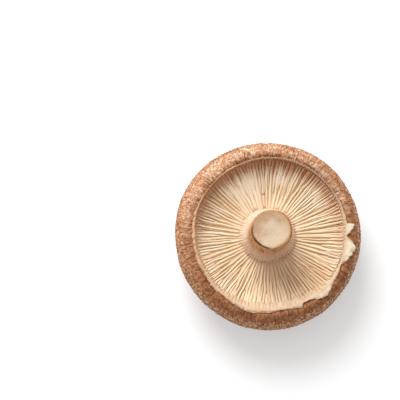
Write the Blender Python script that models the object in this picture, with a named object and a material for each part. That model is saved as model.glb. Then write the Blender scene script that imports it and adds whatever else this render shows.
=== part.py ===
"""A picked shiitake mushroom, lying on the crown of its cap with its gills and its cut stem up.

Metres, +Z up. The origin is the middle of the small flat of the crown, where the cap touches what
it lies on. The mushroom grew as one piece, so it is one closed body: a skin of rings that runs from
the crown out to the widest line, over the rolled rim, down the lip, in along the gills and up the
stem to its cut end.
"""

import math
import random

import bmesh
import bpy
from mathutils import Matrix, Vector

MM = 0.001
TURN = 2 * math.pi

# How it lies: the crown is flat on the surface, and the rest leans a little to one side
LEAN = math.radians(4.8)
LEAN_TOWARDS = math.radians(-56)
REST_RADIUS = 5.0 * MM

# Outside of the cap, heights counted up from the crown
CAP_RADIUS = 31.0 * MM
WIDEST_HEIGHT = 14.5 * MM
CROWN_POWER = 2.2  # 2 makes the outside an ellipse, and more makes the crown flatter
CROWN_RINGS = 11

# The rolled rim, a quarter of an ellipse and a little more, and the thin lip inside it
ROLL_WIDTH = 4.2 * MM
ROLL_HEIGHT = 8.0 * MM
ROLL_END = math.radians(100)
ROLL_RINGS = 6
LIP_RADIUS = 25.1 * MM
LIP_HEIGHT = 22.3 * MM
LIP_THICKNESS = 0.5 * MM
GROOVE_DROP = 0.7 * MM

# The gills: their free edges lie in a shallow bowl, and every second gill stops short of the stem
GILL_COUNT = 132
GILL_DEPTH_AT_LIP = 1.4 * MM
GILL_DEPTH_AT_STEM = 0.7 * MM
GILL_EDGE_AT_LIP = 19.4 * MM
GILL_EDGE_AT_STEM = 15.4 * MM
BOWL_POWER = 1.5
GILL_STATIONS = (0.0, 0.12, 0.28, 0.45, 0.62, 0.78, 0.91, 1.0)  # shares of the way in to the stem
SHORT_GILL_REACH = (0.15, 0.8)
GILL_FADE = 0.12
GILL_SWAY = math.radians(1.3)
SWAY_WAVES = 3

# The stem, from its flared foot to the flat cut
STEM_FOOT_RADIUS = 9.6 * MM
STEM_RADIUS = 6.6 * MM
STEM_TOP = 34.5 * MM
STEM_RINGS = 7
RING_SPREAD = 1.4  # above 1, the rings lie closer together at the foot
FLARE_POWER = 3.4  # how soon the foot narrows to the stem
CUT_BEVEL = 0.3 * MM

# Columns of faces round the mushroom; those of the stem and of the cap divide those of the gills
GILL_COLUMNS = 2 * GILL_COUNT
CAP_COLUMNS = GILL_COLUMNS // 3
STEM_COLUMNS = GILL_COLUMNS // 4
CREASE = math.radians(42)

# What keeps it from being round: waves in a full turn, share of the radius (or height), first peak
OUTLINE_WAVES = ((2, 0.005, math.radians(100)), (3, 0.006, math.radians(27)), (7, 0.002, 0.0))
LIP_WAVES = ((2, 0.004, math.radians(95)), (4, 0.005, math.radians(62)), (5, 0.004, math.radians(24)))
RIM_WAVES = ((3, 0.009, math.radians(70)), (5, 0.006, math.radians(10)))
STEM_WAVES = ((2, 0.020, math.radians(30)), (5, 0.012, math.radians(50)))
SEED = 7

SKIN, GILLS, STEM = range(3)
FINISHES = (
    ("brown cap skin", (0.235, 0.105, 0.045), 0.62),
    ("cream gills", (0.72, 0.53, 0.33), 0.75),
    ("tan stem", (0.56, 0.37, 0.21), 0.70),
)


def waved(angle, waves):
    """1, a little more or a little less, by the direction seen from the axis."""
    return 1 + sum(share * math.cos(count * (angle - peak)) for count, share, peak in waves)


def smooth(share):
    """0 to 1 with no corner at either end."""
    held = min(max(share, 0.0), 1.0)
    return held * held * (3 - 2 * held)


def leaning(radius, height, angle, share=1.0):
    """A point given round the mushroom's own axis, put where that axis leans to."""
    turning_axis = Vector((-math.sin(LEAN_TOWARDS), math.cos(LEAN_TOWARDS), 0))
    upright = Vector((radius * math.cos(angle), radius * math.sin(angle), height))
    return Matrix.Rotation(LEAN * share, 3, turning_axis) @ upright


def crown_height(radius):
    """How far the outside of the cap has risen at this radius, before the crown is flattened."""
    return WIDEST_HEIGHT * (1 - (1 - (radius / CAP_RADIUS) ** CROWN_POWER) ** (1 / CROWN_POWER))


def add_ring(bm, columns, point_at):
    """A closed loop of edges with its points at point_at(angle, column)."""
    points = [bm.verts.new(point_at(TURN * i / columns, i)) for i in range(columns)]
    return [bm.edges.new((points[i - 1], points[i])) for i in range(columns)]


def bridge(bm, ring, next_ring, finish):
    """Faces between two rings, whose counts of points may differ."""
    made = bmesh.ops.bridge_loops(bm, edges=ring + next_ring)
    for face in made["faces"]:
        face.material_index = finish


def cap_rings(bm):
    """The outside of the cap, from the flat of the crown to the widest line."""
    flattened = crown_height(REST_RADIUS)
    start = math.asin((REST_RADIUS / CAP_RADIUS) ** (CROWN_POWER / 2))
    for i in range(CROWN_RINGS + 1):
        swing = start + (math.pi / 2 - start) * i / CROWN_RINGS
        radius = CAP_RADIUS * math.sin(swing) ** (2 / CROWN_POWER)
        height = crown_height(min(radius, CAP_RADIUS)) - flattened
        away = smooth((radius - REST_RADIUS) / (CAP_RADIUS - REST_RADIUS))

        def point_at(angle, _column, radius=radius, height=height, away=away):
            wide = radius * (1 + (waved(angle, OUTLINE_WAVES) - 1) * away)
            return leaning(wide, height * (1 + (waved(angle, RIM_WAVES) - 1) * away), angle, away)

        yield add_ring(bm, CAP_COLUMNS, point_at)


def rim_rings(bm):
    """The rolled rim, then the groove and the thin lip that stands inside it."""
    profile = []
    for i in range(1, ROLL_RINGS + 1):
        swing = ROLL_END * i / ROLL_RINGS
        inward = ROLL_WIDTH * (1 - math.cos(swing))
        profile.append((CAP_RADIUS - inward, WIDEST_HEIGHT + ROLL_HEIGHT * math.sin(swing)))
    last_radius, last_height = profile[-1]
    lip_outside = LIP_RADIUS + LIP_THICKNESS
    profile.append(((last_radius + lip_outside) / 2, last_height - GROOVE_DROP))
    profile.append((lip_outside, LIP_HEIGHT))
    profile.append((LIP_RADIUS, LIP_HEIGHT))
    profile.append((LIP_RADIUS, (LIP_HEIGHT + GILL_EDGE_AT_LIP) / 2))
    for radius, height in profile:
        inwards = smooth((CAP_RADIUS - radius) / (CAP_RADIUS - LIP_RADIUS))

        def point_at(angle, _column, radius=radius, height=height, inwards=inwards):
            outline, lip = waved(angle, OUTLINE_WAVES), waved(angle, LIP_WAVES)
            wide = radius * (outline * (1 - inwards) + lip * inwards)
            return leaning(wide, height * waved(angle, RIM_WAVES), angle)

        yield add_ring(bm, CAP_COLUMNS, point_at)


def gill_rings(bm):
    """The gills, every odd column a free edge and every even one the bottom between two gills."""
    draw = random.Random(SEED)
    reaches = [
        1.0 if gill % 2 else draw.uniform(*SHORT_GILL_REACH) for gill in range(GILL_COUNT)
    ]
    for share in GILL_STATIONS:
        rise = (GILL_EDGE_AT_LIP - GILL_EDGE_AT_STEM) * (1 - share) ** BOWL_POWER
        edge_height = GILL_EDGE_AT_STEM + rise
        depth = GILL_DEPTH_AT_LIP + (GILL_DEPTH_AT_STEM - GILL_DEPTH_AT_LIP) * share
        sway = GILL_SWAY * math.sin(math.pi * share)

        def point_at(angle, column, share=share, edge=edge_height, depth=depth, sway=sway):
            lip = LIP_RADIUS * waved(angle, LIP_WAVES)
            foot = STEM_FOOT_RADIUS * waved(angle, STEM_WAVES)
            stands = smooth((reaches[column // 2] - share) / GILL_FADE) if column % 2 else 0.0
            rim = 1 + (waved(angle, RIM_WAVES) - 1) * (1 - share)
            height = (edge - depth * (1 - stands)) * rim
            swayed = angle + sway * math.sin(SWAY_WAVES * angle)
            return leaning(lip + (foot - lip) * share, height, swayed)

        yield add_ring(bm, GILL_COLUMNS, point_at)


def stem_rings(bm):
    """The stem, from its flared foot up to the bevel round the cut."""
    foot_height = GILL_EDGE_AT_STEM - GILL_DEPTH_AT_STEM / 2
    straight_top = STEM_TOP - CUT_BEVEL
    profile = []
    for i in range(1, STEM_RINGS + 1):
        share = (i / STEM_RINGS) ** RING_SPREAD
        flare = (STEM_FOOT_RADIUS - STEM_RADIUS) * (1 - share) ** FLARE_POWER
        profile.append((STEM_RADIUS + flare, foot_height + (straight_top - foot_height) * share))
    profile.append((STEM_RADIUS - CUT_BEVEL, STEM_TOP))
    for radius, height in profile:
        yield add_ring(
            bm,
            STEM_COLUMNS,
            lambda angle, _column, radius=radius, height=height: leaning(
                radius * waved(angle, STEM_WAVES), height, angle
            ),
        )


def mushroom_mesh():
    """The whole mushroom as one closed mesh."""
    bm = bmesh.new()
    rings = [(ring, SKIN) for ring in cap_rings(bm)]
    rings += [(ring, SKIN) for ring in rim_rings(bm)]
    rings += [(ring, GILLS) for ring in gill_rings(bm)]
    rings += [(ring, STEM) for ring in stem_rings(bm)]
    for (ring, _), (next_ring, finish) in zip(rings, rings[1:]):
        bridge(bm, ring, next_ring, finish)
    ends = bmesh.ops.edgeloop_fill(bm, edges=rings[0][0], mat_nr=SKIN)["faces"]
    ends += bmesh.ops.edgeloop_fill(bm, edges=rings[-1][0], mat_nr=STEM)["faces"]
    bmesh.ops.recalc_face_normals(bm, faces=bm.faces)
    bmesh.ops.triangulate(bm, faces=ends)
    mesh = bpy.data.meshes.new("mushroom")
    bm.to_mesh(mesh)
    bm.free()
    mesh.shade_smooth()
    mesh.set_sharp_from_angle(angle=CREASE)
    return mesh


def finish_material(name, colour, roughness):
    material = bpy.data.materials.new(name)
    material.use_nodes = True
    shader = material.node_tree.nodes["Principled BSDF"]
    shader.inputs["Base Color"].default_value = (*colour, 1.0)
    shader.inputs["Roughness"].default_value = roughness
    return material


def main():
    for obj in list(bpy.data.objects):
        bpy.data.objects.remove(obj)
    mushroom = bpy.data.objects.new("mushroom", mushroom_mesh())
    bpy.context.scene.collection.objects.link(mushroom)
    for name, colour, roughness in FINISHES:
        mushroom.data.materials.append(finish_material(name, colour, roughness))


main()
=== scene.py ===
import math
import random

import bpy
import numpy as np
from mathutils import Matrix, Vector, noise


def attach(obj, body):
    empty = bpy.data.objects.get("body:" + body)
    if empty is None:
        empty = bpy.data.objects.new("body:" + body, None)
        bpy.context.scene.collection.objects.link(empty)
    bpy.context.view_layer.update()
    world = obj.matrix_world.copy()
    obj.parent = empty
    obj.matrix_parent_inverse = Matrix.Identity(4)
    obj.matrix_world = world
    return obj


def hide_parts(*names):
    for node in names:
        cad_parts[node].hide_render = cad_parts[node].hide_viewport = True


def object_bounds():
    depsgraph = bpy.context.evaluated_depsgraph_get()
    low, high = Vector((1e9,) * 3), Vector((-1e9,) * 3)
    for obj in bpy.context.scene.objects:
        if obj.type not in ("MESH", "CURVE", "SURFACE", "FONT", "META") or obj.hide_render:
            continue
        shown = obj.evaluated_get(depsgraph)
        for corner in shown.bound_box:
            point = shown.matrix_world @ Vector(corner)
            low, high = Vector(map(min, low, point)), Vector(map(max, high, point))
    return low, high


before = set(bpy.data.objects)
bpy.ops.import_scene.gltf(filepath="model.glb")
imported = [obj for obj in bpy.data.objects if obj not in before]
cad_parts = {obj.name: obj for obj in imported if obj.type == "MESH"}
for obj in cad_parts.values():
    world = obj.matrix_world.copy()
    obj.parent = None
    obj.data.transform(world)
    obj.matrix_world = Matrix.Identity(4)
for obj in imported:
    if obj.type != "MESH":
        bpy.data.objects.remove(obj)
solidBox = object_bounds()

mm = 0.001
degree = math.pi / 180
fullTurn = 2 * math.pi

# The mushroom's shape about its own axis, close to the solid's; heights count from the crown
form = {
    "lean": 4.8 * degree,
    "leanTowards": -56 * degree,
    "restRadius": 5.0 * mm,
    "capRadius": 31.0 * mm,
    "widestHeight": 14.5 * mm,
    "crownPower": 2.2,
    "rollWidth": 4.2 * mm,
    "rollHeight": 8.0 * mm,
    "rollEnd": 100 * degree,
    "lipRadius": 25.1 * mm,
    "lipHeight": 22.3 * mm,
    "gillEdgeAtLip": 19.4 * mm,
    "gillEdgeAtStem": 15.4 * mm,
    "gillDepthAtLip": 1.1 * mm,
    "gillDepthAtStem": 0.3 * mm,
    "bowlPower": 1.5,
    "footRadius": 9.6 * mm,
    "filletRadius": 9.7 * mm,
    "stemRadius": 6.6 * mm,
    "stemTop": 34.5 * mm,
    "flarePower": 4.6,
}

# Waves in a full turn, share of the radius or the height, and first peak in degrees
waves = {
    "outline": ((2, 0.005, 100), (3, 0.006, 27), (7, 0.002, 0)),
    "lip": ((1, 0.016, -12), (2, 0.004, 95), (4, 0.005, 62), (5, 0.004, 24)),
    "rim": ((3, 0.009, 70), (5, 0.006, 10)),
    "stem": ((2, 0.022, 10), (5, 0.012, 50)),
}


def waved(angle, kind):
    return 1 + sum(share * np.cos(count * (angle - peak * degree)) for count, share, peak in waves[kind])


def eased(low, high, value):  # 0 below low, 1 above high, no corner between
    held = np.clip((value - low) / (high - low), 0.0, 1.0)
    return held * held * (3 - 2 * held)


def turnedFrom(angle, centre):  # how far round from the centre, half a turn either way at most
    return np.mod(angle - centre + math.pi, fullTurn) - math.pi


def about(angle, middle, half, full=0.6):  # fades from 1 near the middle to 0 half away, both in degrees
    return 1 - eased(full, 1.0, np.abs(turnedFrom(angle, middle * degree)) / (half * degree))


def spun(count):  # the angles of evenly spaced columns
    return np.arange(count) * fullTurn / count


def onCircle(angle, along=0.0):  # points for the grain, which closes on itself round the axis
    return np.stack([np.cos(angle), np.sin(angle), along + 0 * angle], axis=-1)


def leaned(radius, height, angle, share=1.0):  # arrays of points round the axis, put where it leans
    lean = form["lean"] * share
    towards = form["leanTowards"]
    along = radius * np.cos(angle - towards)
    beside = radius * np.sin(angle - towards)
    tipped = along * np.cos(lean) + height * np.sin(lean)
    return np.stack([
        tipped * math.cos(towards) - beside * math.sin(towards),
        tipped * math.sin(towards) + beside * math.cos(towards),
        height * np.cos(lean) - along * np.sin(lean),
    ], axis=-1)


def leanRotation():  # the same lean as turns about X, Y and Z
    across = Vector((-math.sin(form["leanTowards"]), math.cos(form["leanTowards"]), 0))
    return tuple(Matrix.Rotation(form["lean"], 3, across).to_euler())


def crownHeight(radius):
    power = form["crownPower"]
    return form["widestHeight"] * (1 - (1 - (radius / form["capRadius"]) ** power) ** (1 / power))


def rollHeightAt(radius):  # the top of the rolled rim at this radius
    swing = np.arccos(np.maximum(-1.0, 1 - (form["capRadius"] - radius) / form["rollWidth"]))
    return form["widestHeight"] + form["rollHeight"] * np.sin(swing)


def gillEdgeHeight(share):  # share of the way from the lip to the stem
    drop = form["gillEdgeAtLip"] - form["gillEdgeAtStem"]
    return form["gillEdgeAtStem"] + drop * (1 - share) ** form["bowlPower"]


def grain(points, scale, octaves=3, seed=0.0):  # smooth noise, about -1 to 1, at an array of points
    shift = Vector((seed, seed * 1.7, -seed))
    flat = points.reshape(-1, 3) * scale
    values = [noise.fractal(Vector(p) + shift, 1.0, 2.0, octaves) for p in flat.tolist()]
    return np.array(values).reshape(points.shape[:-1])


def outwards(points):  # normals of a grid of rings whose columns close on themselves
    around = np.roll(points, -1, axis=1) - np.roll(points, 1, axis=1)
    normals = np.cross(around, np.gradient(points, axis=0))
    return normals / np.maximum(np.linalg.norm(normals, axis=-1, keepdims=True), 1e-12)


def ringMesh(name, points, closedAlong=False):  # rings of columns, closed by two fans or on themselves
    rings, columns = points.shape[:2]
    spots = points.reshape(-1, 3).tolist()
    faces = []
    for ring in range(rings if closedAlong else rings - 1):
        here, there = ring * columns, (ring + 1) % rings * columns
        for column in range(columns):
            after = (column + 1) % columns
            faces.append((here + column, here + after, there + after, there + column))
    if not closedAlong:
        count = len(spots)
        last = count - columns
        spots += [points[0].mean(axis=0).tolist(), points[-1].mean(axis=0).tolist()]
        faces += [((column + 1) % columns, column, count) for column in range(columns)]
        faces += [(last + column, last + (column + 1) % columns, count + 1) for column in range(columns)]
    mesh = bpy.data.meshes.new(name)
    mesh.from_pydata(spots, [], faces)
    mesh.shade_smooth()
    return mesh


def keepValues(mesh, **named):  # stores values for each point, which the finishes read by name
    for name, values in named.items():
        isVector = values.ndim == 3
        flat = values.reshape(-1, 3) if isVector else values.reshape(-1)
        flat = np.concatenate([flat, np.repeat(flat[-1:], len(mesh.vertices) - len(flat), axis=0)])
        layer = mesh.attributes.new(name, "FLOAT_VECTOR" if isVector else "FLOAT", "POINT")
        layer.data.foreach_set("vector" if isVector else "value", flat.ravel())


def addObject(name, data, *finishes):
    added = bpy.data.objects.new(name, data)
    bpy.context.scene.collection.objects.link(added)
    for finish in finishes:
        data.materials.append(finish)
    return added


def joinedBy(operation):  # what a sign between two values does
    return lambda first, second: first.recipe.calc(operation, first, second)


class Value:  # what a node gives; sums written with it add the nodes for them
    __add__ = joinedBy("ADD")
    __sub__ = joinedBy("SUBTRACT")
    __mul__ = joinedBy("MULTIPLY")
    __truediv__ = joinedBy("DIVIDE")
    __mod__ = joinedBy("FLOORED_MODULO")

    def __init__(self, recipe, socket):
        self.recipe = recipe
        self.socket = socket

    def __rsub__(self, other):
        return self.recipe.calc("SUBTRACT", other, self)

    def eased(self, low, high, start=0.0, end=1.0):
        ranged = {"Value": self, "From Min": low, "From Max": high, "To Min": start, "To Max": end}
        return self.recipe.get("ShaderNodeMapRange", ranged, "Result", interpolation_type="SMOOTHSTEP")


class Recipe:  # adds nodes to a tree, so that a finish or a shape reads as a list of steps
    def __init__(self, tree):
        self.tree = tree

    def add(self, kind, inputs=(), **settings):
        node = self.tree.nodes.new(kind)
        for key, value in settings.items():
            setattr(node, key, value)
        self.plug(node.inputs, inputs)
        return node

    def get(self, kind, inputs=(), output=0, **settings):
        return Value(self, self.add(kind, inputs, **settings).outputs[output])

    def plug(self, sockets, inputs):
        for key, value in dict(inputs).items():
            value = value.socket if isinstance(value, Value) else value
            if isinstance(value, bpy.types.NodeSocket):
                self.tree.links.new(value, sockets[key])
            else:
                sockets[key].default_value = value

    def calc(self, operation, *values):
        return self.get("ShaderNodeMath", dict(enumerate(values)), operation=operation)

    def vector(self, x, y, z):
        return self.get("ShaderNodeCombineXYZ", {0: x, 1: y, 2: z})

    def where(self):
        return self.get("ShaderNodeTexCoord", output="Object")

    def gap(self, place, where=None):
        between = {0: where or self.where(), 1: place}
        return self.get("ShaderNodeVectorMath", between, "Value", operation="DISTANCE")

    def attribute(self, name, output="Fac"):
        return self.get("ShaderNodeAttribute", output=output, attribute_name=name)

    def noise(self, scale, detail=3.0, roughness=0.55, where=None):
        inputs = {"Vector": where or self.where(), "Scale": scale, "Detail": detail, "Roughness": roughness}
        return self.get("ShaderNodeTexNoise", inputs)

    def fibres(self, across, along, detail=5.0, roughness=0.65):  # noise drawn out along the fibres
        stretched = self.get("ShaderNodeMapping", {
            "Vector": self.attribute("fibre", "Vector"), "Scale": (across, across, along),
        })
        return self.noise(1.0, detail, roughness, stretched)

    def mix(self, share, first, second):
        node = self.add("ShaderNodeMix", {"Factor": share}, data_type="RGBA")
        places = [i for i, socket in enumerate(node.inputs) if socket.type == "RGBA"]
        self.plug(node.inputs, dict(zip(places, (first, second))))
        return Value(self, next(s for s in node.outputs if s.type == "RGBA"))

    def tinted(self, colour, look, *steps):  # each step: a share, or an attribute's name, and its tone
        for share, name in steps:
            share = self.attribute(share) if isinstance(share, str) else share
            colour = self.mix(share, colour, look[name])
        return colour

    def ramp(self, value, stops):
        node = self.add("ShaderNodeValToRGB", {"Fac": value})
        band = node.color_ramp
        while len(band.elements) < len(stops):
            band.elements.new(0.5)
        for element, (place, colour) in zip(band.elements, stops):
            element.position = place
            element.color = colour
        return Value(self, node.outputs["Color"])

    def bump(self, height, strength, distance, **below):
        inputs = {"Height": height, "Strength": strength, "Distance": distance, **below}
        return self.get("ShaderNodeBump", inputs)

    def read(self, name):
        return self.get("GeometryNodeInputNamedAttribute", {"Name": name}, data_type="FLOAT")

    def stored(self, geometry, name, value, domain="POINT"):
        inputs = {"Geometry": geometry, "Name": name, "Value": value}
        return self.get("GeometryNodeStoreNamedAttribute", inputs, data_type="FLOAT", domain=domain)

    def drawn(self, kind, **values):  # random numbers
        node = self.add("FunctionNodeRandomValue", data_type=kind)
        places = {s.name: i for i, s in enumerate(node.inputs) if s.enabled}
        self.plug(node.inputs, {places[name]: value for name, value in values.items()})
        return Value(self, next(s for s in node.outputs if s.enabled))

    def close(self, geometry, finish):
        geometry = self.get("GeometryNodeRealizeInstances", {"Geometry": geometry})
        geometry = self.get("GeometryNodeSetShadeSmooth", {"Geometry": geometry})
        geometry = self.get("GeometryNodeSetMaterial", {"Geometry": geometry, "Material": finish})
        self.add("NodeGroupOutput", {0: geometry})


def tone(red, green, blue):  # a colour as a photo shows it, 0 to 255, as the shaders take it
    return tuple(((c / 255 + 0.055) / 1.055) ** 2.4 for c in (red, green, blue)) + (1.0,)


def newFinish(name, roughness, subsurface=0.0, reach=1.0 * mm, specular=0.3):
    material = bpy.data.materials.new(name)
    material.use_nodes = True
    recipe = Recipe(material.node_tree)
    inputs = material.node_tree.nodes["Principled BSDF"].inputs
    recipe.plug(inputs, {
        "Roughness": roughness, "Specular IOR Level": specular, "Subsurface Weight": subsurface,
        "Subsurface Scale": reach, "Subsurface Radius": (1.0, 0.6, 0.35),
    })
    return material, recipe, inputs


# Cap skin: colours from the crown out to the rolled rim, and how strongly the fibres show
skinLook = {
    "crown": tone(190, 138, 106),
    "middle": tone(144, 86, 54),
    "shoulder": tone(90, 50, 30),
    "margin": tone(172, 110, 70),
    "rim": tone(158, 92, 50),
    "groove": tone(168, 108, 70),
    # painted highlight: the margin's tone on its lit side
    "lit": tone(196, 144, 106),
    "darkFibre": tone(92, 46, 24),
    "paleFibre": tone(196, 142, 98),
    "paleFelt": tone(240, 194, 148),
    # painted highlight: the felt's tone on the lit side
    "highlightFelt": tone(250, 224, 198),
    "pit": tone(62, 32, 20),
    "fibreCount": 36.0,
    "fibreLength": 7.0,
    "feltScale": 900.0,
}


def makeSkinFinish():
    look = skinLook
    material, recipe, inputs = newFinish("feltedBrownSkin", 0.72, 0.05, 0.6 * mm, 0.25)
    paintedHighlight = recipe.attribute("paintedHighlight")
    drifted = recipe.attribute("outward") + (recipe.noise(110.0, 4.0, 0.6) * 0.30 - 0.15)
    base = recipe.ramp(drifted, (
        (0.00, look["crown"]), (0.16, look["crown"]), (0.34, look["middle"]), (0.50, look["middle"]),
        (0.68, look["shoulder"]), (0.82, look["margin"]), (0.92, look["rim"]), (1.00, look["groove"]),
    ))
    strands = recipe.fibres(look["fibreCount"], look["fibreLength"])
    fine = recipe.fibres(look["fibreCount"] * 2.4, 22.0, 4.0, 0.7)
    # the painted highlight pales the margin on the side facing the light
    skin = recipe.tinted(
        base, look, (paintedHighlight, "lit"), (strands.eased(0.49, 0.64, 0.0, 0.8), "darkFibre"),
        (fine.eased(0.52, 0.66, 0.0, 0.45), "paleFibre"),
    )
    tufts = recipe.noise(look["feltScale"], 3.0, 0.75)
    speckle = (fine * 0.5 + tufts * 0.5).eased(0.48, 0.56)
    # pale felt, whiter under the painted highlight; its share also carries painted light and shade
    felted = recipe.mix(paintedHighlight, look["paleFelt"], look["highlightFelt"])
    skin = recipe.mix(speckle * recipe.attribute("frostAndLight"), skin, felted)
    skin = recipe.tinted(skin, look, ("pit", "pit"))
    rough = recipe.bump(fine + tufts, 0.6, 0.12 * mm)
    recipe.plug(inputs, {"Base Color": skin, "Normal": recipe.bump(strands, 0.5, 0.2 * mm, Normal=rough)})
    return material


def makeFeltFinish():
    look = skinLook
    material, recipe, inputs = newFinish("paleFeltTufts", 0.85, specular=0.15)
    paintedHighlight = recipe.attribute("paintedHighlight")
    # lit and unlit tones of the tufts, mixed by the painted highlight
    root = recipe.mix(paintedHighlight, look["margin"], look["lit"])
    felted = recipe.mix(paintedHighlight, look["paleFelt"], look["highlightFelt"])
    share = recipe.attribute("chance").eased(0.3, 0.7) * paintedHighlight.eased(0.0, 0.3, 0.7, 1.0)
    strands = recipe.fibres(look["fibreCount"], look["fibreLength"])
    browned = strands * 0.65 + recipe.noise(420.0, 3.0, 0.6) * 0.35
    colour = recipe.mix(browned.eased(0.46, 0.56, 0.0, 0.85), recipe.mix(share, root, felted), root)
    recipe.plug(inputs, {"Base Color": colour})
    return material


# Flesh between the gills, the veil left round them, the gills and the stem
fleshLook = {
    "valley": tone(231, 205, 166),
    "deepValley": tone(208, 174, 126),
    "gillEdge": tone(247, 228, 199),
    "gillSide": tone(237, 210, 170),
    "gillStain": tone(233, 201, 160),
    # painted shadow of the rim on the outer ends of the gills and the bed
    "gillRimShadow": tone(208, 144, 100),
    "bedRimShadow": tone(210, 148, 104),
    "gillRoot": tone(230, 200, 170),
    "pinkStain": tone(226, 186, 158),
    # painted shade for the gills on the side away from the light
    "falloffShade": tone(214, 166, 116),
    "matted": tone(248, 231, 207),
    "speck": tone(122, 88, 58),
    "speckAt": (-0.9 * mm, 12.8 * mm, 16.6 * mm),
    "speckSize": 0.42 * mm,
    "veil": tone(226, 205, 178),
    "veilPink": tone(226, 184, 148),
    "veilFlap": tone(250, 228, 198),
    "veilBrown": tone(172, 118, 82),
    "veilShade": tone(206, 168, 130),
    # painted shadow on the band's inner wall
    "veilWallShadow": tone(178, 126, 90),
    "stemSkin": tone(240, 184, 132),
    "stemFibre": tone(172, 114, 72),
    "stemDark": tone(146, 86, 44),
    # painted shade between the gill roots
    "rootShadeTone": tone(150, 104, 66),
    "collar": tone(245, 222, 198),
    "collarGrain": tone(220, 168, 134),
    "cut": tone(222, 198, 168),
    "cutPaleAt": (2.9 * mm, -6.2 * mm, 34.0 * mm),
    "cutMottle": tone(196, 156, 122),
    "cutRim": tone(206, 158, 110),
    "cutEdge": tone(86, 42, 18),
}


def makeBedFinish():
    look = fleshLook
    material, recipe, inputs = newFinish("tanValleyFlesh", 0.85)
    patches = recipe.noise(260.0, 4.0, 0.6)
    # the rim's painted shadow darkens the bed's outer ends on the upper side
    colour = recipe.tinted(
        look["valley"], look, (patches, "deepValley"), ("rimShadow", "bedRimShadow"), ("nearStem", "gillRoot"),
    )
    rough = recipe.bump(recipe.noise(1800.0), 0.4, 0.1 * mm)
    recipe.plug(inputs, {"Base Color": colour, "Normal": rough})
    return material


def makeGillFinish():
    look = fleshLook
    material, recipe, inputs = newFinish("creamGills", 0.72, specular=0.2)
    chance = recipe.attribute("chance")
    patches = recipe.noise(170.0, 4.0, 0.6)
    edge = recipe.tinted(
        look["gillEdge"], look, (patches.eased(0.45, 0.7, 0.0, 0.55), "gillStain"),
        (chance.eased(0.55, 1.0, 0.0, 0.6), "gillStain"),
    )
    side = recipe.mix(chance, look["gillSide"], look["valley"])
    nicks = recipe.noise(2600.0, 2.0, 0.6)
    size = look["speckSize"]
    inSpeck = recipe.gap(look["speckAt"]).eased(size, size * 2.2, 1.0, 0.0)
    # the rim's painted shadow darkens the gills' outer ends, and painted shade their lower side
    colour = recipe.tinted(
        recipe.mix(recipe.attribute("up").eased(0.1, 0.9), side, edge), look,
        ("rimShadow", "gillRimShadow"), ("innerEnd", "gillRoot"), ("falloffShade", "falloffShade"), ("pink", "pinkStain"),
        ("matted", "matted"), (nicks.eased(0.60, 0.75, 0.0, 0.35), "gillSide"), (inSpeck, "speck"),
    )
    recipe.plug(inputs, {"Base Color": colour, "Normal": recipe.bump(nicks, 0.4, 0.08 * mm)})
    return material


def makeVeilFinish():
    look = fleshLook
    material, recipe, inputs = newFinish("paleVeil", 0.8, 0.15, 0.8 * mm, 0.2)
    threads = recipe.fibres(60.0, 12.0)
    patches = recipe.noise(240.0, 5.0, 0.65)
    shade = (threads * 0.5 + patches * 0.5).eased(0.42, 0.66)
    gillEnds = recipe.fibres(42.0, 1.0, 2.0, 0.5)
    clinging = recipe.noise(1100.0, 3.0, 0.7).eased(0.40, 0.52, 0.15, 1.0)
    colour = recipe.tinted(
        look["veil"], look, (shade, "veilShade"), ("fold", "veilPink"),
        (recipe.attribute("flap") * shade.eased(0.0, 1.0, 0.85, 0.3), "veilFlap"),
        (recipe.attribute("slope") * gillEnds.eased(0.44, 0.58, 0.0, 0.5), "veilShade"),
        # the rim's painted shadow on the band's lower inner wall
        (recipe.attribute("stain") * gillEnds.eased(0.38, 0.62, 0.55, 1.0), "veilWallShadow"),
        (recipe.attribute("outerSide") * clinging, "veilBrown"),
    )
    crinkles = threads + recipe.noise(900.0, 3.0, 0.6)
    recipe.plug(inputs, {"Base Color": colour, "Normal": recipe.bump(crinkles, 0.7, 0.2 * mm)})
    return material


def makeStemFinish():
    look = fleshLook
    material, recipe, inputs = newFinish("tanStemSkin", 0.75, 0.1, 0.8 * mm, 0.25)
    threads = recipe.fibres(16.0, 1.6)
    blotches = recipe.fibres(3.0, 0.9, 3.0, 0.6)
    patches = recipe.noise(320.0, 4.0, 0.6)
    grains = recipe.noise(2400.0, 3.0, 0.7)
    skin = recipe.tinted(
        look["stemSkin"], look, (threads.eased(0.45, 0.66, 0.0, 0.8), "stemFibre"),
        (patches.eased(0.5, 0.7, 0.0, 0.4), "stemFibre"), (blotches.eased(0.45, 0.62, 0.0, 0.7), "stemFibre"),
        (grains.eased(0.48, 0.60, 0.0, 0.55), "stemDark"),
    )
    collar = recipe.mix(grains.eased(0.46, 0.62, 0.0, 0.75), look["collar"], look["collarGrain"])
    onCollar = recipe.attribute("collar") + ((threads + patches) * 0.55 - 0.55)
    skin = recipe.mix(onCollar.eased(0.15, 0.85, 0.0, 0.92), skin, collar)
    # painted shade between the gill roots on the collar
    rooted = recipe.attribute("rootGap") * patches.eased(0.38, 0.62, 0.0, 0.85)
    skin = recipe.tinted(skin, look, (rooted, "rootShadeTone"))
    browner = recipe.gap(look["cutPaleAt"]).eased(2.0 * mm, 9.5 * mm)
    mottle = browner * 0.35 + recipe.noise(190.0, 5.0, 0.6)
    cut = recipe.tinted(look["cut"], look, (mottle.eased(0.50, 0.90), "cutMottle"), ("cutRim", "cutRim"))
    edging = recipe.attribute("cutEdge") * recipe.noise(260.0, 2.0).eased(0.3, 0.6, 0.7, 1.0)
    colour = recipe.tinted(recipe.mix(recipe.attribute("cut"), skin, cut), look, (edging, "cutEdge"))
    pores = recipe.noise(1500.0, 3.0, 0.6)
    recipe.plug(inputs, {"Base Color": colour, "Normal": recipe.bump(threads + pores, 0.7, 0.2 * mm)})
    return material


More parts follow.
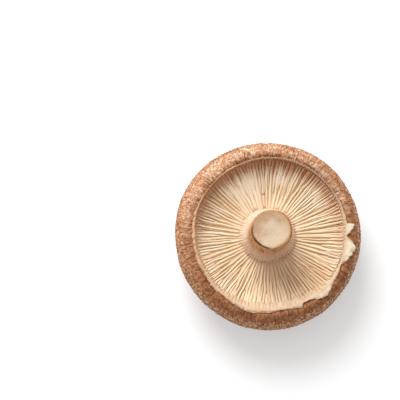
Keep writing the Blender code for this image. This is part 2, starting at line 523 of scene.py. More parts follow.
# Cap: how fine its mesh is, and the relief on it
cap = {
    "columns": 640,
    "flatRings": (0.02, 0.25, 0.5, 0.75),  # shares of the flat's radius
    "crownRings": 62,
    "rollRings": 30,
    "bedRings": 12,
    "reliefTo": 9.0 * mm,  # the relief grows from nothing at the crown to all of it this far out
    "lumps": 0.22 * mm,
    "fibreRelief": 0.07 * mm,
    "feltRelief": 0.12 * mm,
    "crackDepth": 0.16 * mm,
    "grooveDrop": 0.2 * mm,
    "lipThickness": 0.3 * mm,
    "bedRise": 1.1 * mm,  # how far the bed under the gills runs up inside the lip
    "bedHole": 0.3 * mm,
    "pitCount": 46,
    "pitFrom": 6.5 * mm,
    "pitTo": 24.0 * mm,
    "pitDepth": 0.5 * mm,
    "frostAndLight": (0.04, 0.72),  # how much of the skin the pale felt hides, on the crown and on the margin
    "shadedWallLight": 0.8,  # painted light: more pale felt on the outer wall of the shaded side, to lift its shade
    "highlightStrength": 0.74,  # painted highlight: how much paler the margin's crest is painted on the side facing the light
    # the side the light comes from, which the painted light and shade follow
    "lightTowards": 120 * degree,
    # dark grooves by the lip: middle and half width in degrees, how dark, where across the rim they begin
    "seams": ((217, 12, 0.6, 0.968), (57, 8, 0.45, 0.98), (90, 9, 0.3, 0.976), (112, 8, 0.25, 0.976),
              (186, 38, 0.12, 0.945)),
    "seamWidth": 0.014,
    "slopeLight": (42, 42, 0.6),  # painted light on the rim's inner slope by the lip: its middle and half width in degrees, and how pale
    # where these begin and are full, from 0 at the crown to 1 in the groove
    "margin": (0.70, 0.83),
    "wall": (0.73, 0.80),
    "wallEnd": (0.87, 0.93),
    "crest": (0.86, 0.925),
    "cracked": (0.5, 0.8),
    "crackWidth": 0.12,
    # how dark painted shade makes the cracks by the lip on the shaded side
    "crackShading": 0.65,
    "seed": 11,
}


def capStations():  # radius, height, share of the lean and of the way out, from crown to groove
    power = form["crownPower"]
    flat = crownHeight(form["restRadius"])
    start = math.asin((form["restRadius"] / form["capRadius"]) ** (power / 2))
    stations = [(form["restRadius"] * share, 0.0, 0.0) for share in cap["flatRings"]]
    for i in range(cap["crownRings"] + 1):
        swing = start + (math.pi / 2 - start) * i / cap["crownRings"]
        radius = form["capRadius"] * math.sin(swing) ** (2 / power)
        away = eased(form["restRadius"], form["capRadius"], radius)
        stations.append((radius, crownHeight(min(radius, form["capRadius"])) - flat, away))
    for i in range(1, cap["rollRings"] + 1):
        swing = form["rollEnd"] * i / cap["rollRings"]
        radius = form["capRadius"] - form["rollWidth"] * (1 - math.cos(swing))
        stations.append((radius, form["widestHeight"] + form["rollHeight"] * math.sin(swing), 1.0))
    endRadius, endHeight, _ = stations[-1]
    drop = cap["grooveDrop"]
    stations.append((endRadius - 0.15 * mm, endHeight - drop / 2, 1.0))
    stations.append((endRadius - 0.25 * mm, endHeight - drop, 1.0))
    stations.append((form["lipRadius"] + cap["lipThickness"], endHeight - drop * 0.9, 1.0))
    return stations


def pitMarks(radius, angle, crownEnd):  # small dark slits scattered round the crown
    draw = random.Random(cap["seed"])
    dents = np.zeros(angle.shape)
    for _ in range(cap["pitCount"]):
        centre = draw.uniform(cap["pitFrom"], cap["pitTo"])
        turn = draw.uniform(0, fullTurn)
        slant = draw.gauss(0, 0.9)
        length, width = draw.uniform(0.4, 1.3) * mm, draw.uniform(0.22, 0.42) * mm
        out = radius - centre
        side = turnedFrom(angle, turn) * centre
        longWay = out * math.cos(slant) + side * math.sin(slant)
        shortWay = -out * math.sin(slant) + side * math.cos(slant)
        dents = np.maximum(dents, 1 - eased(0.35, 1.1, np.hypot(longWay / length, shortWay / width)))
    dents[crownEnd:] = 0
    return dents


def makeCap(skinFinish, bedFinish):
    radius, height, away = np.array(capStations()).T[..., None]
    angles = spun(cap["columns"])
    angle = angles + 0 * radius
    crownEnd = len(cap["flatRings"]) + cap["crownRings"] + 1
    onRoll = np.arange(len(radius))[:, None] >= crownEnd
    inwards = eased(0.0, 1.0, (form["capRadius"] - radius) / (form["capRadius"] - form["lipRadius"])) * onRoll
    outline = 1 + (waved(angle, "outline") - 1) * away
    wide = radius * (outline * (1 - inwards) + waved(angle, "lip") * inwards)
    tall = height * (1 + (waved(angle, "rim") - 1) * away)
    points = leaned(wide, tall, angle, away)

    # how far along the skin each ring lies, 0 at the crown and 1 in the groove
    steps = np.hypot(np.diff(radius[:, 0]), np.diff(height[:, 0]))
    outward = np.concatenate([[0.0], np.cumsum(steps)])
    outward = (outward / outward[-1])[:, None] + 0 * angle
    fibre = onCircle(angle, outward * 1.4)

    touching = eased(0.0, cap["reliefTo"], radius)
    relief = cap["lumps"] * grain(points, 85.0) * touching
    relief += cap["fibreRelief"] * grain(fibre, (40.0, 40.0, 9.0), 3, 3.1) * touching
    onMargin = eased(*cap["margin"], outward + 0.05 * grain(fibre, (22.0, 22.0, 3.0), 3, 6.6))
    relief += cap["feltRelief"] * grain(points, 1300.0, 2, 5.3) * onMargin
    cracks = np.abs(grain(fibre, (26.0, 26.0, 5.0), 2, 8.2))
    inCrack = 1 - eased(0.0, cap["crackWidth"], cracks)
    relief -= cap["crackDepth"] * inCrack * eased(*cap["cracked"], outward)
    pits = pitMarks(radius, angle, crownEnd)
    for middle, half, dark, begin in cap["seams"]:
        seam = about(angle, middle, half) * eased(begin, begin + cap["seamWidth"], outward)
        pits = np.maximum(pits, dark * seam)
    relief -= cap["pitDepth"] * pits

    # pale felt, little on the crown and more on the margin; painted shade thins it by the lip on the shaded
    # side
    uneven = 0.5 + 0.5 * grain(points, 160.0, 3, 4.4)
    facing = np.cos(angle - cap["lightTowards"])
    litSide, shadedSide = (0.5 + 0.5 * facing) ** 2.2, (0.5 - 0.5 * facing) ** 1.5
    # painted shade: the cracks by the lip darker on the side away from the light
    shadedCracks = (1 - eased(0.0, 0.10, cracks)) * eased(0.92, 0.955, outward) * (1 - litSide)
    pits = np.maximum(pits, cap["crackShading"] * shadedCracks)
    middle, half, pale = cap["slopeLight"]
    # painted light: the rim's inner slope by the lip paler on the upper right
    slope = about(angle, middle, half, 0.4) * eased(0.935, 0.965, outward)
    lipShade = 0.8 * eased(0.86, 0.95, outward) * (1 - litSide) * (1 - 0.8 * slope)
    sparse, dense = cap["frostAndLight"]
    # a little more felt on the lit side, as painted light
    frostAndLight = sparse + (dense - sparse) * onMargin * (0.8 + 0.2 * litSide) * (1 - lipShade)
    onWall = eased(*cap["wall"], outward) * (1 - eased(*cap["wallEnd"], outward))
    # painted light: more pale felt on the outer wall of the shaded side
    frostAndLight += cap["shadedWallLight"] * onWall * shadedSide
    frostAndLight = np.clip(frostAndLight * (0.5 + 1.0 * uneven), 0.0, 1.0)
    # painted highlight: the crest paler on the side facing the light, and the slope by the lip paler
    onCrest = eased(*cap["crest"], outward + 0.06 * (uneven - 0.5)) * (1 - 0.65 * eased(0.95, 0.98, outward))
    paintedHighlight = cap["highlightStrength"] * onCrest * litSide * (0.7 + 0.6 * uneven) + pale * slope * (0.6 + 0.8 * uneven)
    points = points + outwards(points) * relief[..., None]
    points[..., 2] = np.maximum(points[..., 2], 0.0)

    # the bed under the gills closes the cap: down inside the lip and in under the stem
    share = np.linspace(0, 1, cap["bedRings"] + 1)[:, None]
    gillShare = np.minimum(1.0, share * form["lipRadius"] / (form["lipRadius"] - form["footRadius"]))
    depth = form["gillDepthAtLip"] + (form["gillDepthAtStem"] - form["gillDepthAtLip"]) * gillShare
    bedHeight = gillEdgeHeight(gillShare) - depth * (0.85 - 0.2 * eased(0.15, 0.7, gillShare))
    bedHeight += cap["bedRise"] * (1 - eased(0.0, 0.13, gillShare))
    bedRadius = form["lipRadius"] + (cap["bedHole"] - form["lipRadius"]) * share
    bed = leaned(bedRadius * waved(angles, "lip"), bedHeight + 0 * angles, angles)
    nearStem = eased(0.62, 0.98, gillShare)
    # painted shadow of the rim on the bed's outer ends, strongest on the upper side
    rimShadow = (1 - eased(0.1, 0.4, gillShare)) * np.clip(0.35 + 0.6 * np.sin(angles), 0, 1)
    columns, skinRings, rings = cap["columns"], len(points), len(points) + len(bed)
    mesh = ringMesh("cap", np.concatenate([points, bed]))
    for name, onSkin, onBed in (
        ("outward", outward, 1.0), ("pit", pits, 0.0), ("frostAndLight", frostAndLight, 0.0), ("paintedHighlight", paintedHighlight, 0.0),
        ("fibre", fibre, 0.0), ("nearStem", 0 * outward, nearStem), ("rimShadow", 0 * outward, rimShadow),
    ):
        tail = np.zeros((len(bed),) + onSkin.shape[1:]) + onBed
        keepValues(mesh, **{name: np.concatenate([onSkin, tail])})
    slots = np.zeros(len(mesh.polygons), dtype=np.int32)
    slots[(skinRings - 1) * columns:(rings - 1) * columns] = 1
    slots[rings * columns:] = 1
    piece = addObject("cap", mesh, skinFinish, bedFinish)
    mesh.polygons.foreach_set("material_index", slots)
    return piece


# Gills: of every four slots one holds a whole gill, one a shorter gill, and two hold thin low ones
gills = {
    "Slot Count": 264,
    "Outer Radius": 24.9 * mm,
    "Inner Radius": 8.4 * mm,
    "Thickness": 0.93 * mm,
    "Sway": 0.25 * mm,
    "Edge Roughness": 0.16 * mm,
    "Low Drop": 0.12 * mm,
    "End Rise": 1.8 * mm,
    "Matted At": (-6.6 * mm, 14.6 * mm, 16.5 * mm),
    "Matted Size": 7.4 * mm,
    "Streak At": (4.1 * mm, 18.4 * mm, 16.5 * mm),
    "Streak Size": 3.2 * mm,
    # where painted shade darkens the gills low on the right, away from the light
    "Tan At": (13.5 * mm, -15.0 * mm, 16.5 * mm),
    "Tan Size": 15.0 * mm,
    "Pink At": (0.3 * mm, -13.0 * mm, 16.0 * mm),
    "Pink Size": 4.5 * mm,
    "Edge Height At Lip": form["gillEdgeAtLip"],
    "Edge Height At Stem": form["gillEdgeAtStem"],
    "Depth At Lip": form["gillDepthAtLip"],
    "Depth At Stem": form["gillDepthAtStem"],
    "Bowl Power": form["bowlPower"],
    "Lean": leanRotation(),
    "Seed": 4,
}


socketKinds = {int: "Int", float: "Float", tuple: "Vector", bpy.types.Material: "Material"}


def newShapeTree(name, values):  # a tree with one input for each value
    tree = bpy.data.node_groups.new(name, "GeometryNodeTree")
    for way in ("INPUT", "OUTPUT"):
        tree.interface.new_socket("Geometry", in_out=way, socket_type="NodeSocketGeometry")
    for label, value in values.items():
        kind = "NodeSocket" + socketKinds[type(value)]
        tree.interface.new_socket(label, in_out="INPUT", socket_type=kind)
    recipe = Recipe(tree)
    given = {socket.name: Value(recipe, socket) for socket in recipe.add("NodeGroupInput").outputs}
    return recipe, given


def madeByNodes(name, mesh, tree, values):  # runs the tree once and keeps its result as a plain mesh
    piece = addObject(name, mesh)
    modifier = piece.modifiers.new("shape", "NODES")
    modifier.node_group = tree
    for item in tree.interface.items_tree:
        if item.item_type == "SOCKET" and item.in_out == "INPUT" and item.name in values:
            modifier[item.identifier] = values[item.name]
    whole = piece.evaluated_get(bpy.context.evaluated_depsgraph_get())
    plain = bpy.data.meshes.new_from_object(whole)
    piece.modifiers.remove(modifier)
    piece.data = plain
    return piece


def makeGills(finish):
    values = {**gills, "Finish": finish}
    recipe, given = newShapeTree("gillShape", values)

    # one blade as a plain block, with its own places stored before it is bent
    blade = recipe.get("GeometryNodeMeshCube", {
        "Size": (1, 1, 1), "Vertices X": 14, "Vertices Y": 3, "Vertices Z": 2,
    })
    axes = recipe.add("ShaderNodeSeparateXYZ", {0: recipe.get("GeometryNodeInputPosition")}).outputs
    for name, axis, start in (("along", 0, 0.5), ("across", 1, 0.0), ("up", 2, 0.5)):
        blade = recipe.stored(blade, name, Value(recipe, axes[axis]) + start)
    slots = recipe.get("GeometryNodePoints", {"Count": given["Slot Count"]})
    slots = recipe.stored(slots, "slot", recipe.get("GeometryNodeInputIndex"))
    copies = recipe.get("GeometryNodeInstanceOnPoints", {"Points": slots, "Instance": blade})
    blades = recipe.get("GeometryNodeRealizeInstances", {"Geometry": copies})
    along, across, up, slot = (recipe.read(name) for name in ("along", "across", "up", "slot"))

    def drawn(low, high, offset, gill=slot):  # one random number for each gill
        return recipe.drawn("FLOAT", Min=low, Max=high, ID=gill, Seed=given["Seed"] + offset)

    def shortReach(gill=slot):
        return drawn(0.15, 1.0, 1, gill)

    quarter = recipe.calc("MODULO", slot, 4.0)
    whole = recipe.calc("GREATER_THAN", quarter, 2.5)
    half = recipe.calc("COMPARE", quarter, 1.0, 0.1)
    low = 1.0 - whole - half
    reach = whole * drawn(0.92, 1.0, 11) + (half * shortReach() + low * drawn(0.2, 0.8, 2))
    share = along * reach
    radius = (given["Inner Radius"] - given["Outer Radius"]) * share + given["Outer Radius"]

    # where a shorter gill ends, its neighbours lean in and share the gap
    before = slot - (half * 4.0 + (quarter - 1.0) % 4.0)
    after = before + (half * 4.0 + 4.0)

    def ended(gill):
        return (share - shortReach(gill % given["Slot Count"])).eased(-0.16, 0.05)

    closing = whole * 0.7 + (half * 0.35 + low * 0.5)
    leanedIn = closing * (ended(after) - ended(before))
    angle = (slot + drawn(-0.22, 0.22, 3) + leanedIn) / given["Slot Count"] * fullTurn
    cosine, sine = recipe.calc("COSINE", angle), recipe.calc("SINE", angle)
    level = 16.5 * mm  # about the height of the free edges

    # slow noise bends neighbours alike, and quick noise bends each gill in its own way
    shared = recipe.noise(1.0, 2.0, where=recipe.vector(cosine * 7.0, sine * 7.0, radius * 120.0))
    ownWay = recipe.noise(1.0, 2.0, where=recipe.vector(slot * 3.7, radius * 330.0, 0.0))
    swing = (shared * 2.4 - 1.2) + (ownWay * 2.0 - 1.0)
    narrowing = radius / given["Outer Radius"]
    sway = given["Sway"] * narrowing * (swing * share.eased(0.0, 0.12))
    tilt = up * drawn(-0.2, 0.2, 5) * mm

    def near(kind):  # 1 at that kind's place, 0 beyond its size, uneven between
        size = given[kind + " Size"]
        gap = recipe.gap(given[kind + " At"], recipe.vector(radius * cosine, radius * sine, level))
        return (gap * drawn(0.7, 1.4, 9)).eased(size * 0.2, size, 1.0, 0.0)

    matted = recipe.calc("MAXIMUM", near("Matted"), near("Streak"))
    innerEnd = share.eased(0.78, 0.98)
    thinner = half * along.eased(0.5, 1.0, 0.08, 0.62) + low * 0.62
    bladeWidth = given["Thickness"] * (narrowing * 0.2 + 0.8) * (1.0 - thinner)
    bladeWidth = bladeWidth * (drawn(0.78, 1.1, 8) * (up * -0.22 + 1.0))
    bladeWidth = bladeWidth * (matted * 0.75 + innerEnd * 0.35 + 1.0)
    sideways = across * bladeWidth + (sway + tilt)

    # the free edge lies in the bowl, sinks where a short gill ends and is never quite even
    rise = given["Edge Height At Lip"] - given["Edge Height At Stem"]
    edge = rise * recipe.calc("POWER", 1.0 - share, given["Bowl Power"]) + given["Edge Height At Stem"]
    depth = (given["Depth At Stem"] - given["Depth At Lip"]) * share + given["Depth At Lip"]
    tip = along.eased(0.72, 1.0) * (1.0 - whole)
    uneven = recipe.noise(1.0, 3.0, where=recipe.vector(slot * 5.1, radius * 900.0, 7.0))
    ridge = (0.25 - recipe.calc("ABSOLUTE", across * 0.5)) * (0.5 * mm)
    top = tip * -1.15 * depth + edge + (ridge + given["Edge Roughness"] * (uneven * 2.0 - 1.0))
    top = drawn(-0.22, 0.08, 6) * mm + top - low * given["Low Drop"] * (1.0 - matted)
    top = top + given["End Rise"] * share.eased(0.0, 0.09, 1.0, 0.0)
    bottom = edge - depth * 1.3
    place = recipe.vector(
        radius * cosine - sideways * sine, radius * sine + sideways * cosine, (top - bottom) * up + bottom,
    )
    # painted shade: darker tan on the lower side and low on the right; the rim's painted shadow on the outer
    # ends above
    lowerSide = sine.eased(-0.85, -0.1, 0.55, 0.0) * share.eased(0.05, 0.35)
    for name, value in (
        ("matted", matted * 0.7), ("falloffShade", recipe.calc("MAXIMUM", near("Tan"), lowerSide) * 0.5),
        ("innerEnd", innerEnd * 0.7), ("pink", near("Pink") * 0.6), ("chance", drawn(0.0, 1.0, 7)),
        ("rimShadow", share.eased(0.03, drawn(0.2, 0.42, 10), 1.0, 0.0) * (sine * 0.58 + 0.30)),
    ):
        blades = recipe.stored(blades, name, value)
    blades = recipe.get("GeometryNodeSetPosition", {"Geometry": blades, "Position": place})
    tipped = recipe.get("GeometryNodeTransform", {"Geometry": blades, "Rotation": given["Lean"]})
    recipe.close(tipped, given["Finish"])
    return madeByNodes("gills", bpy.data.meshes.new("gills"), recipe.tree, values)


# Felt: small tufts scattered over the margin of the cap and the rolled rim, thickest where it is frosted
felt = {
    "Density": 1.7e6,  # tufts to a square metre where the pale felt, with its painted light, is full
    "Width": 0.36 * mm,
    "Height": 0.13 * mm,
    "Seed": 12,
}


def makeFelt(capMesh, finish):
    values = {**felt, "Finish": finish}
    recipe, given = newShapeTree("feltTufts", values)
    spread = recipe.add("GeometryNodeDistributePointsOnFaces", {
        "Mesh": given["Geometry"], "Density": given["Density"] * recipe.read("frostAndLight").eased(0.22, 0.5),
        "Seed": given["Seed"],
    }).outputs
    tuft = recipe.get("GeometryNodeMeshCone", {
        "Vertices": 5, "Side Segments": 1, "Fill Segments": 1,
        "Radius Top": 0.25, "Radius Bottom": 0.6, "Depth": 1.0,
    })

    def drawn(kind, low, high, offset):
        return recipe.drawn(kind, Min=low, Max=high, Seed=given["Seed"] + offset)

    size = recipe.get("ShaderNodeVectorMath", {
        0: drawn("FLOAT_VECTOR", (0.5, 0.5, 0.5), (1.5, 1.2, 1.3), 1),
        1: recipe.vector(given["Width"], given["Width"], given["Height"]),
    }, operation="MULTIPLY")
    tilt = recipe.get("FunctionNodeRotateRotation", {
        "Rotation": spread["Rotation"],
        "Rotate By": drawn("FLOAT_VECTOR", (-0.9, -0.9, 0.0), (0.9, 0.9, 6.28), 2),
    }, rotation_space="LOCAL")
    tufts = recipe.get("GeometryNodeInstanceOnPoints", {
        "Points": spread["Points"], "Instance": tuft, "Rotation": tilt, "Scale": size,
    })
    tufts = recipe.stored(tufts, "chance", drawn("FLOAT", 0.0, 1.0, 3), "INSTANCE")
    recipe.close(tufts, given["Finish"])
    return madeByNodes("felt", capMesh.copy(), recipe.tree, values)


# Veil: a pale band inside the rim, and a thin sheet torn off it that lies out over the rim in flaps
veil = {
    "columns": 720,
    "thickness": 0.14 * mm,
    "clearance": 0.16 * mm,
    "raggedness": 0.32 * mm,
    "thinnest": 0.35 * mm,
    # all round the band's section: millimetres out from the lip, share of its width further in, and rise
    "section": (
        (0.58, 0, -1.3), (0.46, 0, -0.6), (0.28, 0, -0.2), (0.13, 0, 0.04), (0.02, 0, 0.0),
        (-0.05, 0.2, -0.4), (-0.08, 0.42, -0.95), (-0.1, 0.64, -1.5), (-0.1, 0.84, -2.05), (-0.1, 1, -2.7),
        (-0.1, 1, -3.9), (0.1, 0, -3.9), (0.5, 0, -2.5),
    ),
    # where the band is wider: middle and half width in degrees, and how many millimetres wider
    "wideParts": ((281, 58, 2.1), (224, 30, 0.7), (352, 34, 0.3)),
    # each flap: its tip and its spread to the right and to the left in degrees, its reach in millimetres
    "flaps": ((6.3, 8.1, 1.9, 3.1), (-8.8, 15.5, 7.4, 3.6), (-47, 12, 14, 2.3), (-66, 20, 2, 1.3),
              (-103, 34, 28, 1.7), (-32, 20, 10, 0.9), (14, 26, 20, 0.7), (222, 18, 20, 1.2)),
    # where the lip folds out over the rim, pinkish: middle and half width in degrees, and how much
    "folds": ((192, 54, 1.0), (126, 14, 0.45), (74, 9, 0.25)),
    "foldReach": 1.7,
    "foldRise": 0.3 * mm,
    # middles and half widths in degrees
    "mellow": (148, 34),  # where the lip is as brown as the rim beside it
    "stained": (105, 95),  # where painted shadow of the rim darkens the band's inner wall
    "browned": (242, 50),  # where the skin's brown clings to the sheet's edge
    "bobbing": 0.22 * mm,
    "sharpness": 0.8,
    "shortest": 0.10 * mm,
    "curl": 0.35 * mm,
    "lumps": 0.13 * mm,
    "fibreRelief": 0.09 * mm,
    "ridges": 0.2 * mm,
    "sheetRings": 12,
    "lipLine": 0.9,  # how pink the sheet is where it bends over the lip
}


def bandWidth(angle):  # how far in from the lip the band slopes, uneven along its inner edge
    width = veil["thinnest"] + 0 * angle
    for middle, half, extra in veil["wideParts"]:
        width += extra * mm * about(angle, middle, half, 0.25)
    return width * (1 + 0.35 * grain(onCircle(angle), 30.0, 3, 7.7))


def foldShare(angle):
    share = 0 * angle
    for middle, half, much in veil["folds"]:
        share = np.maximum(share, much * about(angle, middle, half, 0.3))
    return share * (1 + 0.5 * grain(onCircle(angle), 16.0, 4, 3.3))


def makeVeilBand(finish):
    out, inShare, rise = np.array(veil["section"]).T[..., None]
    row = np.arange(len(out))[:, None]
    angles = spun(veil["columns"])
    angle = angles + 0 * out
    width, fold = bandWidth(angles), foldShare(angles)
    folded = fold * (row < 4)
    bobbing = veil["bobbing"] * grain(onCircle(angles), 9.0, 3, 12.1) * (row < 6)
    radius = (form["lipRadius"] + out * mm * (1 + veil["foldReach"] * folded)) * waved(angle, "lip")
    height = form["lipHeight"] + rise * mm + veil["foldRise"] * folded + bobbing
    points = leaned(radius - inShare * width, height * waved(angle, "rim"), angle)
    fibre = onCircle(angle, row / len(out))
    away = points - points.mean(axis=0, keepdims=True)
    away /= np.linalg.norm(away, axis=-1, keepdims=True)
    relief = veil["lumps"] * grain(points, 420.0, 3, 2.2) * (1 + 1.2 * fold)
    relief += veil["fibreRelief"] * grain(fibre, (60.0, 60.0, 4.0), 2)
    ridges = np.cos(gills["Slot Count"] / 2 * angle + 2.0 * grain(fibre, (6.0, 6.0, 0.0), 2, 9.0))
    relief += veil["ridges"] * ridges * (row > 4)
    mesh = ringMesh("veilBand", (points + away * relief[..., None])[::-1], closedAlong=True)

    # what the finish reads: the brown outside, the slope and painted shadow inside, and the pink lip
    mellow = about(angle, *veil["mellow"], 14 / 34)
    onOutside = np.select([row < 3, row == 3], [1.0, 0.5]) * (1 - 0.6 * fold)
    deep = eased(0.05, 0.8, np.where(out < 0.05, -rise, 0.0))
    # painted shadow of the rim: the lower inner wall darker on the upper side, where the band is narrow
    stain = deep * about(angle, *veil["stained"], 45 / 95) * (1 - eased(0.7 * mm, 1.5 * mm, width))
    onLip = np.interp(row, (2, 3, 5, 6), (0, 1, 1, 0)) * veil["lipLine"] * (0.7 + 0.3 * np.sin(angle))
    keepValues(
        mesh, fibre=fibre[::-1], stain=stain[::-1], fold=np.maximum(fold, onLip)[::-1],
        outerSide=np.maximum(onOutside, 0.55 * mellow * ((row > 2) & (row < 7)))[::-1],
        slope=(eased(0.3, 1.8, np.where(out < 0, -rise, 0.0)) + 0 * angle)[::-1],
    )
    return addObject("veilBand", mesh, finish)


def flapReach(angle):
    reach = veil["shortest"] + 0 * angle
    for tip, right, left, length in veil["flaps"]:
        gap = turnedFrom(angle, tip * degree)
        gap = np.where(gap > 0, gap / (left * degree), -gap / (right * degree))
        reach = np.maximum(reach, length * mm * np.maximum(0.0, 1 - gap) ** veil["sharpness"])
    torn = grain(np.float32(onCircle(angle)), 38.0, 4)
    return np.maximum(0.05 * mm, reach + veil["raggedness"] * torn * (0.35 + reach / (2.5 * mm)))


def makeVeilSheet(finish):
    angles = spun(veil["columns"])
    reaches = flapReach(angles)
    share = (np.arange(veil["sheetRings"] + 1) / veil["sheetRings"])[:, None]
    angle = angles + 0 * share
    radius = form["lipRadius"] + 0.1 * mm + reaches * share
    onRoll = rollHeightAt(np.maximum(radius, form["capRadius"] - form["rollWidth"] * 1.17))
    height = np.maximum(form["lipHeight"], onRoll) + veil["clearance"] * eased(0, 0.3, share)
    spots = (onCircle(angle) * 14 + np.array([0, 0, 1.5]) * share[..., None]).reshape(-1, 3)
    curl = np.array([noise.noise(Vector(spot)) for spot in spots.tolist()]).reshape(angle.shape)
    height = height + curl * veil["curl"] * share * eased(0.8 * mm, 2.5 * mm, reaches)
    thick = veil["thickness"] * (1 - 0.6 * share)
    wide = radius * waved(angle, "lip")
    upper, lower = (leaned(wide, level * waved(angle, "rim"), angle) for level in (height + thick, height))
    points = np.concatenate([upper, lower[::-1]])
    mesh = ringMesh("veilSheet", points[::-1], closedAlong=True)
    shares = np.concatenate([share, share[::-1]])
    browned = about(angles, *veil["browned"])
    isFlap = eased(0.8 * mm, 1.8 * mm, reaches) * (1 - 0.6 * browned)
    clinging = np.maximum(1 - eased(0.9 * mm, 1.8 * mm, reaches), browned)
    fibre = onCircle(angles + 0 * shares, np.linspace(0, 1, len(points))[:, None])
    keepValues(
        mesh, fibre=fibre, outerSide=(eased(0.2, 0.85, shares) * clinging)[::-1],
        flap=(eased(0.0, 0.4, shares) * isFlap)[::-1],
        fold=(veil["lipLine"] * (1 - eased(0.0, 0.3, shares)) * (1 - isFlap))[::-1],
    )
    return addObject("veilSheet", mesh, finish)


# Stem: its flared foot, the fibres along it and the flat cut
stem = {
    "columns": 396,
    "rings": 64,
    "bevel": 0.35 * mm,
    "bevelRings": 4,
    "cutRings": 14,
    "fibreRelief": 0.11 * mm,
    "grainRelief": 0.05 * mm,
    "gillRoots": 0.16 * mm,
    "rootsTo": 2.4 * mm,
    # the side where the painted shade between the roots is darkest
    "rootShadeTowards": 290 * degree,
    "paleTo": 14.0 * mm,
    "dish": 0.18 * mm,
    # where the skin stands dark round the cut: middle and half width in degrees, and how dark
    "edgeDark": ((216, 60, 0.75), (20, 56, 0.45)),
    "edgeGroove": 0.12 * mm,
    "cutRim": (10, 110),  # the tan rim inside it: middle and half width in degrees
    "sunk": 0.5 * mm,
}


def makeStem(finish):
    bottom = form["gillEdgeAtStem"] - stem["sunk"]
    straightTop = form["stemTop"] - stem["bevel"]
    stations = []  # radius, height, and share of the cut
    for i in range(stem["rings"] + 1):
        share = (i / stem["rings"]) ** 1.3
        flare = (form["filletRadius"] - form["stemRadius"]) * (1 - share) ** form["flarePower"]
        stations.append((form["stemRadius"] + flare, bottom + (straightTop - bottom) * share, 0.0))
    for i in range(1, stem["bevelRings"] + 1):
        share = i / stem["bevelRings"]
        radius = form["stemRadius"] - stem["bevel"] * (1 - math.cos(math.pi / 2 * share))
        stations.append((radius, straightTop + stem["bevel"] * math.sin(math.pi / 2 * share), share))
    for i in range(1, stem["cutRings"]):
        share = 1 - i / stem["cutRings"]
        radius = (form["stemRadius"] - stem["bevel"]) * share
        stations.append((radius, form["stemTop"] - stem["dish"] * (1 - share ** 2), 1.0))
    radius, height, onCut = np.array(stations).T[..., None]
    angle = spun(stem["columns"]) + 0 * radius
    points = leaned(radius * waved(angle, "stem"), height + 0 * angle, angle)
    fibre = onCircle(angle, height / (10 * mm))
    collarHeight = height - form["gillEdgeAtStem"]
    relief = stem["fibreRelief"] * grain(fibre, (14.0, 14.0, 1.5), 3, 1.9) * (1 - onCut)
    nearGills = 1 - eased(0.1 * mm, stem["rootsTo"], collarHeight)
    roots = np.cos(gills["Slot Count"] / 4 * angle - 1.5 * math.pi)  # 1 where a whole gill meets the collar
    relief += stem["gillRoots"] * roots * nearGills
    relief += stem["grainRelief"] * grain(points, 700.0, 3, 6.0)
    # painted shade in the gaps between the gill roots, darker on the side away from the light
    rootGap = eased(-0.2, 0.9, -roots) * nearGills * (0.6 + 0.4 * np.cos(angle - stem["rootShadeTowards"]))
    share = radius / form["stemRadius"] + 0 * angle
    cutEdge = 0.25 + 0 * angle
    for middle, half, much in stem["edgeDark"]:
        cutEdge += much * about(angle, middle, half)
    cutEdge *= eased(0.915, 0.94, share) * eased(straightTop - 0.6 * mm, straightTop - 0.15 * mm, height)
    relief -= stem["edgeGroove"] * cutEdge
    inRim = eased(0.80, 0.88, share + 0.05 * grain(points, 260.0, 3, 5.5))
    points = points + outwards(points) * relief[..., None]
    points[..., 2] = np.minimum(points[..., 2], solidBox[1].z + 0.2 * mm)
    mesh = ringMesh("stem", points)
    keepValues(
        mesh, fibre=fibre, collar=1 - eased(0.0, stem["paleTo"], collarHeight) + 0 * angle,
        cut=onCut + 0 * angle, cutEdge=cutEdge, rootGap=rootGap,
        cutRim=0.9 * about(angle, *stem["cutRim"], 0.55) * inRim,
    )
    return addObject("stem", mesh, finish)


# Studio: the photo's own frame, where the cap sits in it, and soft light from the upper left
studio = {
    "photoSize": 400,
    "capCentre": (267.7, 236.0),
    "capWidth": 186.4,
    "elevation": 79 * degree,
    "distance": 1000 * mm,
    "floorSize": 3.0,
    "floor": (0.66, 0.66, 0.66, 1.0),
    "floorGlow": 0.40,
    "white": (1.0, 1.0, 1.0, 1.0),
    "skyFrom": Vector((-0.30, 0.66, 0.72)),  # the bright side of the room
    "skyDim": 0.24,
    "skyBright": 0.78,
    "keyFrom": Vector((-0.28, 0.66, 0.72)),
    "keySize": 0.60,
    "keyDistance": 0.90,
    "keyPower": 7.6,
}


def makeFloor():
    half = studio["floorSize"] / 2
    mesh = bpy.data.meshes.new("floor")
    corners = [(-half, -half, 0), (half, -half, 0), (half, half, 0), (-half, half, 0)]
    mesh.from_pydata(corners, [], [(0, 1, 2, 3)])
    material, recipe, inputs = newFinish("plainFloor", 0.9)
    glow = {"Emission Color": studio["white"], "Emission Strength": studio["floorGlow"]}
    recipe.plug(inputs, {"Base Color": studio["floor"], **glow})
    addObject("floor", mesh, material)


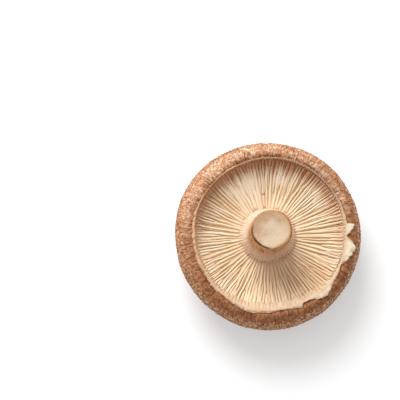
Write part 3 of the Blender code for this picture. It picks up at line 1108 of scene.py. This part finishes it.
def makeLight():
    world = bpy.data.worlds.new("softRoom")
    world.use_nodes = True
    recipe = Recipe(world.node_tree)
    looking = recipe.get("ShaderNodeTexCoord", output="Generated")
    facing = recipe.get("ShaderNodeVectorMath", {0: looking, 1: studio["skyFrom"].normalized()}, "Value",
                        operation="DOT_PRODUCT")
    strength = facing.eased(-0.2, 0.95, studio["skyDim"], studio["skyBright"])
    recipe.plug(world.node_tree.nodes["Background"].inputs, {"Color": studio["white"], "Strength": strength})
    bpy.context.scene.world = world
    key = bpy.data.lights.new("key", "AREA")
    key.shape = "DISK"
    key.size = studio["keySize"]
    key.energy = studio["keyPower"]
    lamp = addObject("key", key)
    towards = studio["keyFrom"].normalized()
    lamp.location = towards * studio["keyDistance"]
    lamp.rotation_euler = towards.to_track_quat("Z", "Y").to_euler()
    bpy.context.scene.view_settings.view_transform = "Standard"


def makeCamera():
    back = Vector((0, -math.cos(studio["elevation"]), math.sin(studio["elevation"])))
    right = Vector((1, 0, 0))
    up = back.cross(right)
    scale = 2 * form["capRadius"] / studio["capWidth"]  # metres to a pixel at the cap
    half = studio["photoSize"] / 2
    across, down = studio["capCentre"]
    middle = Vector(leaned(0.0, form["widestHeight"], 0.0).tolist())
    aim = middle - right * (across - half) * scale + up * (down - half) * scale
    data = bpy.data.cameras.new("camera")
    data.lens = data.sensor_width * studio["distance"] / (scale * studio["photoSize"])
    data.clip_start, data.clip_end = 0.01, 10.0
    camera = addObject("camera", data)
    camera.location = aim + back * studio["distance"]
    camera.rotation_euler = back.to_track_quat("Z", "Y").to_euler()
    bpy.context.scene.camera = camera


makeFloor()
makeLight()
makeCamera()
print("stage: floor, light and camera")

bedFinish = makeBedFinish()
veilFinish = makeVeilFinish()
capPiece = makeCap(makeSkinFinish(), bedFinish)
print("cap:", len(capPiece.data.polygons), "faces")
feltPiece = makeFelt(capPiece.data, makeFeltFinish())
print("felt:", len(feltPiece.data.polygons), "faces")
gillPiece = makeGills(makeGillFinish())
print("gills:", len(gillPiece.data.polygons), "faces")
veilPieces = [makeVeilBand(veilFinish), makeVeilSheet(veilFinish)]
stemPiece = makeStem(makeStemFinish())
print("veil and stem")

for piece, slotName in (
    (capPiece, "cap_skin"), (feltPiece, "cap_skin"), (gillPiece, "gill_flesh"), (veilPieces[0], "gill_flesh"),
    (veilPieces[1], "gill_flesh"), (stemPiece, "stem_flesh"),
):
    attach(piece, "root")
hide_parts("mushroom")
